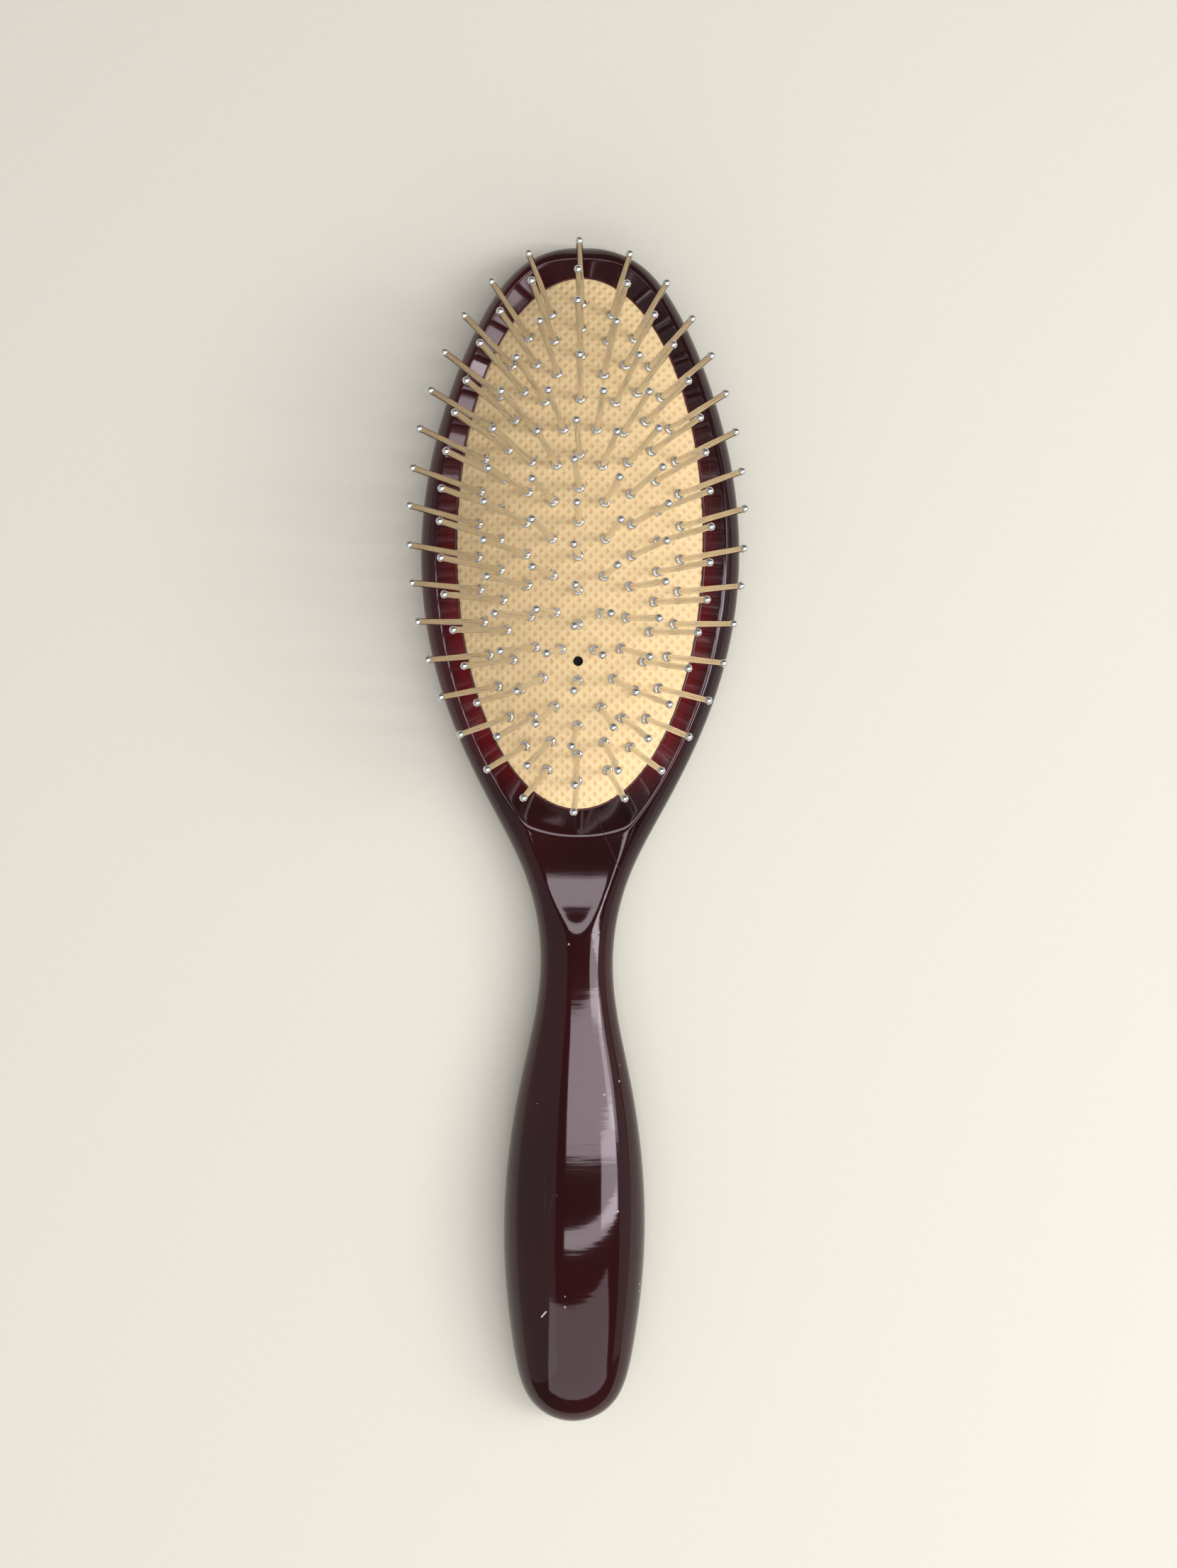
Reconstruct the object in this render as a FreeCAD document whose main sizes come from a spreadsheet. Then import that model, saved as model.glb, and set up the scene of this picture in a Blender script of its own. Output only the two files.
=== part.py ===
"""An oval pin brush lying on its back: one moulded body, a domed rubber pad and 114 ball-tipped pins.

The frame has +Y from the handle to the head, +X to the right with the pins facing up, and +Z up.
The origin is at the bottom centre of the brush, and all sizes are in millimetres.
"""

import FreeCAD
import Part

import math
import os

V = FreeCAD.Vector

# The driving sizes, each with a word of its own. Heights are measured from the table.
SIZES = {
    # outline of the body, seen from above
    "brush_length": 230.0,
    "head_width": 62.5,
    "neck_width": 14.5,
    "handle_width": 27.7,
    # profile of the body, seen from the side
    "parting_height": 6.0,
    "head_top": 13.4,
    "neck_top": 11.8,
    "handle_top": 16.5,
    "neck_underside": 2.8,
    "back_sag": 0.25,
    "head_squareness": 5.0,
    "handle_squareness": 2.0,
    # hollow in the top of the neck, below the shoulder of the head
    "hollow_radius": 75.0,
    "hollow_advance": 22.5,
    "hollow_height": 10.7,
    # recess for the pad, and how much of the head is left round it
    "tip_rim": 6.6,
    "side_rim": 7.1,
    "neck_rim": 33.5,
    "pad_height": 8.5,
    "land_height": 0.5,
    "cove_spread": 8.0,
    "cove_neck_spread": 11.7,
    "cove_clearance": 0.6,
    "groove_depth": 1.6,
    "chamber_ledge": 2.0,
    "chamber_floor": 3.0,
    # the pad
    "pad_rise": 8.2,
    "dome_side_drop": 7.87,
    "dome_end_drop": 7.45,
    "pad_wall": 1.7,
    "pad_clearance": 0.1,
    "vent_diameter": 1.9,
    # the pins
    "pin_length": 25.0,
    "shaft_diameter": 1.2,
    "ball_diameter": 1.6,
    "collar_diameter": 2.2,
    "collar_height": 0.7,
    "pin_head_diameter": 2.2,
    "pin_head_height": 0.7,
    "pin_clearance": 0.05,
}

# Sizes that follow from others. Places along the brush are measured from the tip of the head.
DERIVED = {
    "head_place": "brush_length * 0.2591",
    "neck_place": "brush_length * 0.6239",
    "handle_place": "brush_length * 0.8278",
    "hollow_place": "neck_place - hollow_advance",
    "pad_width": "head_width - 2 * side_rim",
    "pad_length": "neck_place - neck_rim - tip_rim",
    "pad_place": "tip_rim + pad_length / 2",
    "dome_width_radius": "(pad_width ^ 2 / 4 + dome_side_drop ^ 2) / (2 * dome_side_drop)",
    "dome_length_radius": "(pad_length ^ 2 / 4 + dome_end_drop ^ 2) / (2 * dome_end_drop)",
    "vent_place": "pad_place + pad_length * 0.2253",
    "oval_one_inset": "pad_width * 0.0971",
    "oval_two_inset": "pad_width * 0.187",
    "oval_three_inset": "pad_width * 0.2907",
    "oval_four_inset": "pad_width * 0.395",
    "oval_one_gap": "pad_length * 0.0076",
    "oval_two_gap": "pad_length * 0.0149",
    "oval_three_gap": "pad_length * 0.0202",
    "oval_four_gap": "pad_length * 0.0538",
    "row_pitch": "pad_length * 0.063",
    "row_place": "pad_place - pad_length * 0.157",
}

# How many pins stand in each oval, outermost first, and on the centre line.
OVAL_PINS = (34, 32, 26, 16)
ROW_PINS = 6
PIN_SIDES = 6

# The outline between the driving places, as shares of the way along and of the change in width.
NOSE = ((0.044, 0.33), (0.183, 0.576), (0.463, 0.816))
SHOULDER = ((0.348, 0.202), (0.577, 0.560), (0.746, 0.860))
SWELL = ((0.416, 0.530),)
HEEL = ((0.598, 0.866), (0.879, 0.635))

# The profile's height above and below the parting plane at the nose's and the heel's places, as shares
# of its full height.
NOSE_RISE = (0.74, 0.93, 0.985)
NOSE_FALL = (0.55, 0.85, 0.97)
HEEL_RISE = (0.84, 0.56)

# Sections that the body's skin runs through, and steps across each half of a section.
SECTIONS = 18
STEPS = 8

# The sections where one patch of the skin ends and the next begins.
PATCHES = (0, 2, 8, 11, 16, 18)

# Halvings when a place is looked up on a curve, and steps round an oval when it is measured.
HALVINGS = 50
OVAL_STEPS = 3600

doc = FreeCAD.newDocument("pin_brush")
sheet = doc.addObject("Spreadsheet::Sheet", "sizes")


def fill_sheet():
    """Writes each size into its own row, under its alias; the derived ones as formulas."""
    cells = {name: str(value) for name, value in SIZES.items()}
    cells.update({name: f"={formula}" for name, formula in DERIVED.items()})
    for row, (name, content) in enumerate(cells.items(), start=1):
        sheet.set(f"A{row}", name)
        sheet.set(f"B{row}", content)
        sheet.setAlias(f"B{row}", name)
    doc.recompute()


def size(name):
    return float(sheet.get(name))


def add(kind, name, bound=None, **fixed):
    """Adds an object, sets its fixed properties and binds the others to the sheet."""
    item = doc.addObject(kind, name)
    for prop, value in fixed.items():
        setattr(item, prop, value)
    for prop, formula in (bound or {}).items():
        item.setExpression(prop, formula)
    return item


def ease(share):
    """A smooth step from 0 to 1."""
    return (1 - math.cos(math.pi * share)) / 2


def mix(start, end, share):
    return start + (end - start) * share


# Body

def stations():
    """The body's named places from head to handle: place, half width, top and underside."""
    length = size("brush_length")
    parting = size("parting_height")
    sag = -size("back_sag")
    head = (size("head_place"), size("head_width") / 2, size("head_top"), sag)
    neck = (size("neck_place"), size("neck_width") / 2, size("neck_top"), size("neck_underside"))
    handle = (size("handle_place"), size("handle_width") / 2, size("handle_top"), sag)
    rows = []
    for (along, wide), rise, fall in zip(NOSE, NOSE_RISE, NOSE_FALL):
        rows.append((head[0] * along, head[1] * wide,
                     mix(parting, head[2], rise), mix(parting, head[3], fall)))
    rows.append(head)
    for (start, end), shares in (((head, neck), SHOULDER), ((neck, handle), SWELL)):
        for along, change in shares:
            rows.append((mix(start[0], end[0], along), mix(start[1], end[1], change),
                         mix(start[2], end[2], ease(along)), mix(start[3], end[3], ease(along))))
        rows.append(end)
    for (along, wide), rise in zip(HEEL, HEEL_RISE):
        rows.append((mix(handle[0], length, along), handle[1] * wide,
                     mix(parting, handle[2], rise), mix(parting, handle[3], rise)))
    return rows


def closed_curve(points):
    curve = Part.BSplineCurve()
    curve.interpolate(Points=points, PeriodicFlag=True)
    return curve


def value_at(curve, end, y, forward):
    """The point of a closed curve at y, on the half that leaves the nose forward or backward."""
    near = curve.FirstParameter if forward else curve.LastParameter
    far = curve.parameter(end)
    for _ in range(HALVINGS):
        middle = (near + far) / 2
        if curve.value(middle).y > y:
            near = middle
        else:
            far = middle
    return curve.value(near)


def body_sections():
    """Sections across the body, closest together at its ends: y, half width, top, underside, squareness."""
    length = size("brush_length")
    parting = size("parting_height")
    rows = stations()
    nose_y = length / 2
    plan_end = V(0, -nose_y, 0)
    side_end = V(0, -nose_y, parting)
    plan = closed_curve([V(0, nose_y, 0)]
                        + [V(wide, nose_y - place, 0) for place, wide, _, _ in rows]
                        + [plan_end]
                        + [V(-wide, nose_y - place, 0) for place, wide, _, _ in reversed(rows)])
    side = closed_curve([V(0, nose_y, parting)]
                        + [V(0, nose_y - place, top) for place, _, top, _ in rows]
                        + [side_end]
                        + [V(0, nose_y - place, low) for place, _, _, low in reversed(rows)])
    sections = []
    for step in range(1, SECTIONS):
        y = nose_y * math.cos(math.pi * step / SECTIONS)
        place = nose_y - y
        share = (place - size("head_place")) / (size("neck_place") - size("head_place"))
        square = mix(size("head_squareness"), size("handle_squareness"), ease(min(max(share, 0), 1)))
        sections.append((y, value_at(plan, plan_end, y, True).x,
                         value_at(side, side_end, y, True).z,
                         value_at(side, side_end, y, False).z, square))
    return sections


def curve_through(points):
    """A spline through points whose parameters are evenly spaced."""
    curve = Part.BSplineCurve()
    last = len(points) - 1
    curve.interpolate(Points=points, Parameters=[step / last for step in range(last + 1)])
    return curve


def half_skin(sections, upper):
    """The upper or lower half of the body's surface, from its nose to its heel."""
    parting = size("parting_height")
    nose_y = size("brush_length") / 2
    rows = []
    for y, half_width, top, low, square in sections:
        height = (top if upper else low) - parting
        points = []
        for step in range(STEPS + 1):
            turn = math.pi * step / STEPS
            across = math.copysign(abs(math.cos(turn)) ** (2 / square), math.cos(turn))
            up = 0 if step in (0, STEPS) else math.sin(turn)
            points.append(V(half_width * across, y, parting + height * up))
        rows.append(curve_through(points))
    across = rows[0]
    count = across.NbPoles
    nets = [[V(0, nose_y, parting)] * count]
    nets += [row.getPoles() for row in rows]
    nets += [[V(0, -nose_y, parting)] * count]
    lines = [curve_through([net[index] for net in nets]) for index in range(count)]
    along = lines[0]
    poles = [[line.getPole(index + 1) for line in lines] for index in range(along.NbPoles)]
    surface = Part.BSplineSurface()
    surface.buildFromPolesMultsKnots(poles, along.getMultiplicities(), across.getMultiplicities(),
                                     along.getKnots(), across.getKnots(), False, False,
                                     along.Degree, across.Degree)
    faces = []
    for start, end in zip(PATCHES, PATCHES[1:]):
        patch = surface.copy()
        patch.segment(start / SECTIONS, end / SECTIONS, 0, 1)
        faces.append(patch.toShape())
    return faces


def body_blank():
    """The whole outside of the body as one solid, its two mould halves meeting at the parting line."""
    sections = body_sections()
    shell = Part.makeShell(half_skin(sections, True) + half_skin(sections, False))
    shell.sewShape()
    solid = Part.makeSolid(shell)
    if solid.Volume < 0:
        solid.reverse()
    blank = doc.addObject("Part::Feature", "body_blank")
    blank.Shape = solid
    return blank


PAD_Y = "sizes.brush_length / 2 - sizes.pad_place"


def oval(name, half_width, half_length, height, shift="0"):
    """A flat oval round the pad's centre, its long axis along the brush."""
    return add("Part::Ellipse", name, {
        "MajorRadius": half_length,
        "MinorRadius": half_width,
        "Placement.Base.y": f"{PAD_Y} + {shift}",
        "Placement.Base.z": height,
    }, Placement=FreeCAD.Placement(V(), FreeCAD.Rotation(V(0, 0, 1), 90)))


def oval_plate(name, half_width, half_length, bottom, top):
    """An upright oval block between two heights."""
    base = oval(f"{name}_oval", half_width, half_length, bottom)
    return add("Part::Extrusion", name, {"LengthFwd": f"{top} - {bottom}"},
               Base=base, DirMode="Custom", Dir=V(0, 0, 1), Solid=True)


def make_body():
    """The body: its blank less the pad's recess, the neck's hollow and the flat that it rests on."""
    half = "sizes.pad_width / 2"
    long = "sizes.pad_length / 2"
    lip = "sizes.pad_height + sizes.land_height"
    cove_low = oval("cove_low", half, long, lip)
    cove_high = oval("cove_high", f"{half} + sizes.cove_spread",
                     f"{long} + (sizes.cove_spread + sizes.cove_neck_spread) / 2",
                     "sizes.head_top + sizes.cove_clearance",
                     "(sizes.cove_spread - sizes.cove_neck_spread) / 2")
    tools = [
        add("Part::Loft", "cove", Sections=[cove_low, cove_high], Solid=True, Ruled=True),
        oval_plate("land", half, long, "(sizes.pad_height - sizes.pad_wall / 2)", f"({lip})"),
        oval_plate("groove", f"{half} + sizes.groove_depth", f"{long} + sizes.groove_depth",
                   "(sizes.pad_height - sizes.pad_wall)", "sizes.pad_height"),
        oval_plate("chamber", f"{half} - sizes.chamber_ledge", f"{long} - sizes.chamber_ledge",
                   "sizes.chamber_floor", "(sizes.pad_height - sizes.pad_wall / 2)"),
        add("Part::Cylinder", "neck_hollow", {
            "Radius": "sizes.hollow_radius",
            "Height": "sizes.head_width",
            "Placement.Base.x": "-sizes.head_width / 2",
            "Placement.Base.y": "sizes.brush_length / 2 - sizes.hollow_place",
            "Placement.Base.z": "sizes.hollow_height + sizes.hollow_radius",
        }, Placement=FreeCAD.Placement(V(), FreeCAD.Rotation(V(0, 1, 0), 90))),
        add("Part::Box", "table", {
            "Length": "sizes.head_width * 2",
            "Width": "sizes.brush_length * 2",
            "Height": "sizes.head_top",
            "Placement.Base.x": "-sizes.head_width",
            "Placement.Base.y": "-sizes.brush_length",
            "Placement.Base.z": "-sizes.head_top",
        }),
    ]
    cutters = add("Part::MultiFuse", "body_cutters", Shapes=tools)
    return add("Part::Cut", "brush_body", Base=body_blank(), Tool=cutters)


# Pad

def dome(name, inset):
    """A ring on its edge: its outermost stretch is the pad's upper or inner surface."""
    return add("Part::Torus", name, {
        "Radius1": "sizes.dome_length_radius - sizes.dome_width_radius",
        "Radius2": f"sizes.dome_width_radius - {inset}",
        "Placement.Base.y": PAD_Y,
        "Placement.Base.z": "sizes.pad_height + sizes.pad_rise - sizes.dome_length_radius",
    }, Placement=FreeCAD.Placement(V(), FreeCAD.Rotation(V(0, 1, 0), 90)))


def pad_surface(x, y):
    """The point of the pad's upper surface over (x, y), with its outward normal."""
    across = size("dome_width_radius")
    ring = size("dome_length_radius") - across
    centre_y = size("brush_length") / 2 - size("pad_place")
    centre_z = size("pad_height") + size("pad_rise") - ring - across
    reach = ring + math.sqrt(across ** 2 - x ** 2)
    along = y - centre_y
    up = math.sqrt(reach ** 2 - along ** 2)
    middle = V(0, along, up) * (ring / reach)
    normal = V(x, along, up) - middle
    return V(x, y, centre_z + up), normal.normalize()


def make_pad(spots):
    """The pad: a domed wall with a flat lip round it, a vent and a hole for each pin."""
    half = "sizes.pad_width / 2"
    long = "sizes.pad_length / 2"
    low = "(sizes.pad_height - sizes.pad_wall + sizes.pad_clearance)"
    edge = "(sizes.pad_height - sizes.pad_clearance)"
    spread = "sizes.groove_depth - sizes.pad_clearance"
    lip = oval_plate("pad_lip", f"{half} + {spread}", f"{long} + {spread}", low, edge)
    above = oval_plate("above_the_lip", half, long, edge, f"({edge} + 2 * sizes.pad_rise)")
    cap = add("Part::Common", "pad_cap", Base=dome("pad_outside", "0"), Tool=above)
    blank = add("Part::Fuse", "pad_blank", Base=cap, Tool=lip)
    inner = f"{half} - sizes.chamber_ledge"
    below = oval_plate("below_the_lip", inner, f"{long} - sizes.chamber_ledge",
                       f"({low} - 1)", f"({edge} + 2 * sizes.pad_rise)")
    inside = add("Part::Common", "pad_inside", Base=dome("pad_hollow", "sizes.pad_wall"), Tool=below)
    vent = add("Part::Cylinder", "vent", {
        "Radius": "sizes.vent_diameter / 2",
        "Height": "sizes.pad_height + 2 * sizes.pad_rise",
        "Placement.Base.y": "sizes.brush_length / 2 - sizes.vent_place",
    })
    reach = size("pad_wall") * 2
    radius = size("shaft_diameter") / 2 + size("pin_clearance")
    hole = Part.Face(Part.makePolygon(corner_ring(radius, -reach))).extrude(V(0, 0, 2 * reach))
    holes = doc.addObject("Part::Feature", "pin_holes")
    holes.Shape = Part.makeCompound([placed(hole, spot) for ring in spots.values() for spot in ring])
    cutters = add("Part::Compound", "pad_cutters", Links=[inside, vent, holes])
    return add("Part::Cut", "cushion_pad", Base=blank, Tool=cutters)


# Pins

def oval_spots(half_width, half_length, count):
    """Evenly spaced points round an oval, the first at its head end."""
    turns = [2 * math.pi * step / OVAL_STEPS for step in range(OVAL_STEPS + 1)]
    points = [(half_width * math.sin(turn), half_length * math.cos(turn)) for turn in turns]
    walked = [0.0]
    for before, after in zip(points, points[1:]):
        walked.append(walked[-1] + math.dist(before, after))
    spots = []
    index = 0
    for number in range(count):
        while walked[index] < walked[-1] * number / count:
            index += 1
        spots.append(points[index])
    return spots


def pin_spots():
    """Where each pin of each group stands on the pad."""
    centre_y = size("brush_length") / 2 - size("pad_place")
    half_width = size("pad_width") / 2
    half_length = size("pad_length") / 2
    words = ("one", "two", "three", "four")
    names = ("pins_outer_oval", "pins_second_oval", "pins_third_oval", "pins_inner_oval")
    spots = {}
    for name, word, count in zip(names, words, OVAL_PINS):
        inset = size(f"oval_{word}_inset")
        gap = size(f"oval_{word}_gap")
        spots[name] = [(x, centre_y + y) for x, y in
                       oval_spots(half_width - inset, half_length - inset - gap, count)]
    spots["pins_centre_row"] = [(0, size("brush_length") / 2 - size("row_place")
                                 - size("row_pitch") * number) for number in range(ROW_PINS)]
    return spots


def placed(shape, spot):
    """A copy of the shape standing square on the pad at a spot."""
    point, normal = pad_surface(*spot)
    copy = shape.copy()
    copy.Placement = FreeCAD.Placement(point, FreeCAD.Rotation(V(0, 0, 1), normal))
    return copy


# The rings that stand for the ball: its neck, its widest place and its top, as shares of its radius
# below the pin's end, and the top's share of its width.
BALL_NECK, BALL_MIDDLE, BALL_TOP = 1.6, 0.9, 0.5


def pin_rings():
    """The radius and height of each ring of a pin, from its head below the pad to its ball tip."""
    shaft = size("shaft_diameter") / 2
    ball = size("ball_diameter") / 2
    collar = size("collar_diameter") / 2
    seat = size("pin_clearance")
    under = -size("pad_wall") - seat
    top = size("pin_length")
    return ((size("pin_head_diameter") / 2, under - size("pin_head_height")),
            (shaft, under),
            (shaft, seat),
            (collar, seat + size("collar_height") / 2),
            (shaft, seat + size("collar_height")),
            (shaft, top - ball * BALL_NECK),
            (ball, top - ball * BALL_MIDDLE),
            (ball * BALL_TOP, top))


def corner_ring(radius, height):
    """The corners of one ring of a pin, the first repeated last."""
    turns = [2 * math.pi * step / PIN_SIDES for step in range(PIN_SIDES)]
    corners = [V(radius * math.cos(turn), radius * math.sin(turn), height) for turn in turns]
    return corners + corners[:1]


def make_pin():
    """One pin on the Z axis, with flat sides so that many of them stay light."""
    rings = [corner_ring(radius, height) for radius, height in pin_rings()]
    faces = [Part.Face(Part.makePolygon(ring)) for ring in (rings[0], rings[-1])]
    for low, high in zip(rings, rings[1:]):
        for step in range(PIN_SIDES):
            corners = [low[step], low[step + 1], high[step + 1], high[step], low[step]]
            faces.append(Part.Face(Part.makePolygon(corners)))
    solid = Part.makeSolid(Part.makeShell(faces))
    if solid.Volume < 0:
        solid.reverse()
    return solid


def make_pins(spots):
    """Each group of pins as separate solids in one object."""
    pin = make_pin()
    groups = []
    for name, ring in spots.items():
        group = doc.addObject("Part::Feature", name)
        group.Shape = Part.makeCompound([placed(pin, spot) for spot in ring])
        groups.append(group)
    return groups


# Build and export

def export(parts):
    """Checks every object, then writes each sub-part to its own file."""
    doc.recompute()
    for item in doc.Objects:
        if "Invalid" in item.State or "Error" in item.State:
            raise RuntimeError(f"{item.Name} failed: {item.State}")
    os.makedirs("parts", exist_ok=True)
    for part in parts:
        part.Label = part.Name
        shape = part.Shape
        if shape.isNull() or not shape.isValid():
            raise RuntimeError(f"{part.Name} has no valid shape")
        print(part.Name, "solids", len(shape.Solids), "volume", round(shape.Volume, 1))
    for part in parts:
        part.Shape.exportStep(f"parts/{part.Label}.step")


fill_sheet()
all_spots = pin_spots()
export([make_body(), make_pad(all_spots)] + make_pins(all_spots))
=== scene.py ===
# %% [markdown]
# # An oval pin brush
#
# This lesson dresses a brush for a dog's coat: a glossy ruby body, a cream rubber pad with a waffle
# pattern, and 114 ball-tipped steel pins that stand square on the pad in four ovals and a centre row.
#
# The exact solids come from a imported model. It is loaded first, because every piece below takes its
# place and size from it.

# %% Load the brush
import math

import bmesh
import bpy
import numpy as np
from mathutils import Matrix, Vector


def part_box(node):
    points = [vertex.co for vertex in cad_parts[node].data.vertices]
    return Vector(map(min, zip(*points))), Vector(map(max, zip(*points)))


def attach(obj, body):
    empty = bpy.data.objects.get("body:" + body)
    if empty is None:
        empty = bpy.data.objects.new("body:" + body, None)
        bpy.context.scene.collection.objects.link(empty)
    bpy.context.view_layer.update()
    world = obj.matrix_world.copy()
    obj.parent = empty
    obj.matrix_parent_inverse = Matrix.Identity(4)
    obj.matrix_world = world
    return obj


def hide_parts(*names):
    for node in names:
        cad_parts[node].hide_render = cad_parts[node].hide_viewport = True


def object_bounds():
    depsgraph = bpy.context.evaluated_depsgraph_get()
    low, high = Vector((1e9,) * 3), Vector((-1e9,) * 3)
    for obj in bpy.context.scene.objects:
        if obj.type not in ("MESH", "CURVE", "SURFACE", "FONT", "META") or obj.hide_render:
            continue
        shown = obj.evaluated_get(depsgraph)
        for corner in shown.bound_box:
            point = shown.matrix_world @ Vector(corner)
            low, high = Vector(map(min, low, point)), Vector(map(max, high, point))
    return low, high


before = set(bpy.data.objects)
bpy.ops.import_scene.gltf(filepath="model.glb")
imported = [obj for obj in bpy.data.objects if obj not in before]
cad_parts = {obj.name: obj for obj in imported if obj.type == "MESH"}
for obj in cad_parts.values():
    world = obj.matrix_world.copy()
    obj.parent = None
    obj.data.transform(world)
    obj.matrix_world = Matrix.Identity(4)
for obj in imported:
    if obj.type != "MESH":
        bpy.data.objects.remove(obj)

cad_box = [list(map(float, corner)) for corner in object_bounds()]
MM = 0.001


def add_object(name, data):
    item = bpy.data.objects.new(name, data)
    bpy.context.collection.objects.link(item)
    return item


def finish_mesh(mesh, data):
    """Writes a working mesh to its data, with smooth faces."""
    for face in mesh.faces:
        face.smooth = True
    mesh.to_mesh(data)
    mesh.free()


print("nodes:", ", ".join(sorted(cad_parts)))

# %% [markdown]
# ## The view
#
# The picture was taken from straight above, with the brush turned half a degree clockwise. The pins
# spread away from the lens, so the camera's height matters: from 40 cm their tips move outwards by the
# same amount as in the picture. The lens follows from that height and from how much of the table shows.

# %% Camera
VIEW_HEIGHT = 307.9 * MM
OUTLINE_HEIGHT = 6 * MM
CAMERA_HEIGHT = 410 * MM
CAMERA_PLACE = (10.4 * MM, 5.0 * MM)
VIEW_SHIFT = (-0.0271, 0.0163)
ROLL = math.radians(0.5)
SENSOR = 36.0


def make_camera():
    data = bpy.data.cameras.new("view_camera")
    data.sensor_fit = "VERTICAL"
    data.sensor_height = SENSOR
    data.lens = SENSOR * (CAMERA_HEIGHT - OUTLINE_HEIGHT) / VIEW_HEIGHT
    data.shift_x, data.shift_y = VIEW_SHIFT
    camera = add_object("view_camera", data)
    camera.location = (*CAMERA_PLACE, CAMERA_HEIGHT)
    camera.rotation_euler = (0, 0, ROLL)
    bpy.context.scene.camera = camera
    return camera


camera = make_camera()
print("lens:", round(camera.data.lens, 1), "mm")

# %% [markdown]
# ## Light
#
# Polished things show the room more than their own colour, so the lamps are placed by what the gloss
# shows. Three panels overhead and to the right draw the long pale window on the handle: it is whole near
# the neck, only its right part goes on along the middle, and a thin strip closes it. A dimmer panel
# beyond the handle's end draws the second window, and a low one on the right lights the wall of the
# recess. Nothing bright stands on the left, so that side of the body stays dark. A large dim wall there
# and a dim even room soften the shadows.

# %% Lamps and room
def soft_panel(name, lean_right, lean_far, size, glow):
    """A rectangular lamp a metre from the brush, leaning from straight overhead by two angles.

    The size is across and along the brush; glow is how bright it looks, with white paper at 1.
    """
    data = bpy.data.lights.new(name, "AREA")
    data.shape = "RECTANGLE"
    data.size, data.size_y = size
    data.energy = glow * math.pi * size[0] * size[1]
    lamp = add_object(name, data)
    away = Vector((math.tan(math.radians(lean_right)), math.tan(math.radians(lean_far)), 1)).normalized()
    across = (Vector((1, 0, 0)) - away * away.x).normalized()
    turn = Matrix((across, away.cross(across), away)).transposed()
    lamp.matrix_world = Matrix.Translation(away) @ turn.to_4x4()


# Name, lean to the right and towards the head in degrees, size in metres, and glow.
LAMPS = (
    ("near_window", 24, 4.8, (1.40, 0.16), 5.3),
    ("side_window", 47, -6, (0.46, 0.24), 5.3),
    ("thin_window", 24, -13.5, (1.40, 0.10), 5.6),
    ("far_window", 10, -46, (1.50, 0.60), 1.7),
    ("low_window", 58, 16, (0.30, 0.26), 3.8),
    ("right_wall", 75, -15, (0.45, 1.20), 0.4),
    ("left_wall", -62, -5, (1.60, 1.80), 0.3),
)
for lamp in LAMPS:
    soft_panel(*lamp)

ROOM_COLOUR = (1.0, 0.97, 0.97, 1)
ROOM_GLOW = 0.18


def make_room():
    """A dim plain room, so that unlit reflections stay dark."""
    world = bpy.data.worlds.new("room")
    world.use_nodes = True
    background = world.node_tree.nodes["Background"]
    background.inputs["Color"].default_value = ROOM_COLOUR
    background.inputs["Strength"].default_value = ROOM_GLOW
    bpy.context.scene.world = world


make_room()
bpy.context.scene.view_settings.view_transform = "Standard"

# %% [markdown]
# ## Node helpers
#
# Every finish below is a small graph of nodes. These helpers add a node, link sockets by name and
# write a colour once, so that each material reads as a short list of what it is made of.

# %% Helpers for materials
def new_material(name):
    material = bpy.data.materials.new(name)
    material.use_nodes = True
    tree = material.node_tree
    tree.nodes.clear()
    out = tree.nodes.new("ShaderNodeOutputMaterial")
    shader = tree.nodes.new("ShaderNodeBsdfPrincipled")
    tree.links.new(shader.outputs["BSDF"], out.inputs["Surface"])
    return material, tree, shader


def node(tree, kind, values=None, **settings):
    """Adds a node; values holds its unlinked inputs or the sockets that feed them."""
    item = tree.nodes.new(kind)
    for key, value in settings.items():
        setattr(item, key, value)
    for key, value in (values or {}).items():
        if isinstance(value, bpy.types.NodeSocket):
            tree.links.new(value, item.inputs[key])
        else:
            item.inputs[key].default_value = value
    return item


def maths(tree, operation, first, second=0.0):
    item = node(tree, "ShaderNodeMath", {0: first, 1: second}, operation=operation)
    return item.outputs[0]


def axes_of(tree, place):
    """The X, Y and Z of a place."""
    return node(tree, "ShaderNodeSeparateXYZ", {"Vector": place}).outputs


def add_bump(tree, shader, height, strength, distance):
    bump = node(tree, "ShaderNodeBump", {"Height": height, "Strength": strength, "Distance": distance})
    tree.links.new(bump.outputs["Normal"], shader.inputs["Normal"])


def blend_colour(tree, share, low, high):
    item = node(tree, "ShaderNodeMix", data_type="RGBA")
    for socket, value in ((item.inputs[0], share), (item.inputs[6], low), (item.inputs[7], high)):
        if isinstance(value, bpy.types.NodeSocket):
            tree.links.new(value, socket)
        else:
            socket.default_value = value
    return item.outputs[2]


def ramp(tree, factor, start, end):
    """A value that runs from 0 to 1 as the factor runs from start to end."""
    item = node(tree, "ShaderNodeMapRange", {"Value": factor, "From Min": start, "From Max": end},
                clamp=True)
    return item.outputs["Result"]


def place_of(tree, scale=(1, 1, 1), offset=(0, 0, 0)):
    """Object coordinates, scaled and moved."""
    source = node(tree, "ShaderNodeTexCoord").outputs["Object"]
    item = node(tree, "ShaderNodeMapping", {"Vector": source, "Scale": scale, "Location": offset})
    return item.outputs["Vector"]


def noise(tree, vector, scale, detail=3.0, roughness=0.5):
    item = node(tree, "ShaderNodeTexNoise",
                {"Vector": vector, "Scale": scale, "Detail": detail, "Roughness": roughness})
    return item.outputs["Fac"]


print("helpers ready")

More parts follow.
